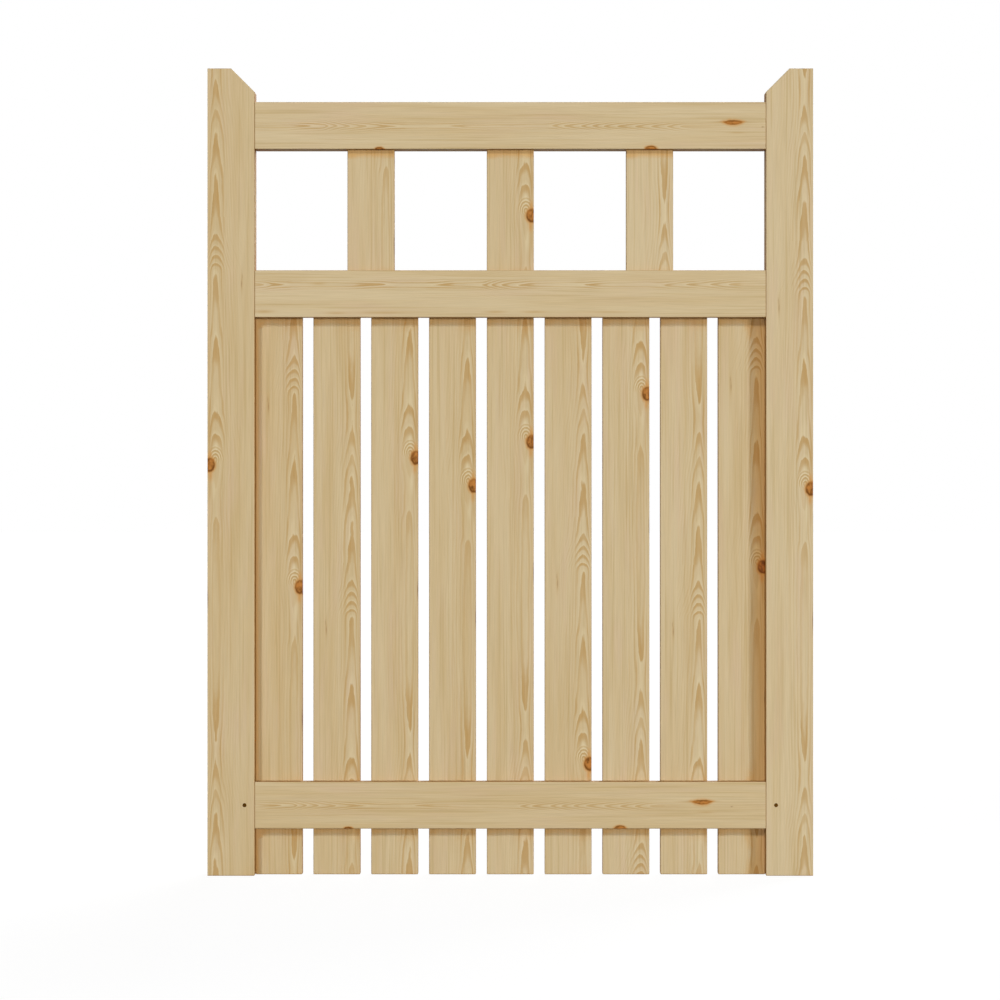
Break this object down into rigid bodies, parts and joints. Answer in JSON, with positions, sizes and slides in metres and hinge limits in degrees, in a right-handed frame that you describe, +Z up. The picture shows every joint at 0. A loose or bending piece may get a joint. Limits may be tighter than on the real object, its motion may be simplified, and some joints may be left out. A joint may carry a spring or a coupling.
{
  "type": "wooden garden gate leaf",
  "caption": "Pine garden gate leaf: stiles and rails mortised and tenoned into a frame, close upright pickets below the middle rail, wide-set pickets in an open band above it.",
  "frame": {"origin": "on the hanging stile's outer edge face, at the stile's foot and in the middle of its thickness", "axes": "+X across the gate towards the closing stile, +Y from the front face to the back face, +Z up"},
  "size_m": [0.9, 0.04, 1.2],
  "materials": {
    "stile_pine": "planed, bare",
    "rail_pine": "planed, bare",
    "picket_pine": "planed, bare"
  },
  "bodies": {
    "root": {"left_stile": "stile_pine", "right_stile": "stile_pine", "top_rail": "rail_pine", "mid_rail": "rail_pine", "bottom_rail": "rail_pine", "upper_picket_1": "picket_pine", "upper_picket_2": "picket_pine", "upper_picket_3": "picket_pine", "lower_picket_1": "picket_pine", "lower_picket_2": "picket_pine", "lower_picket_3": "picket_pine", "lower_picket_4": "picket_pine", "lower_picket_5": "picket_pine", "lower_picket_6": "picket_pine", "lower_picket_7": "picket_pine", "lower_picket_8": "picket_pine", "lower_picket_9": "picket_pine"}
  },
  "joints": []
}
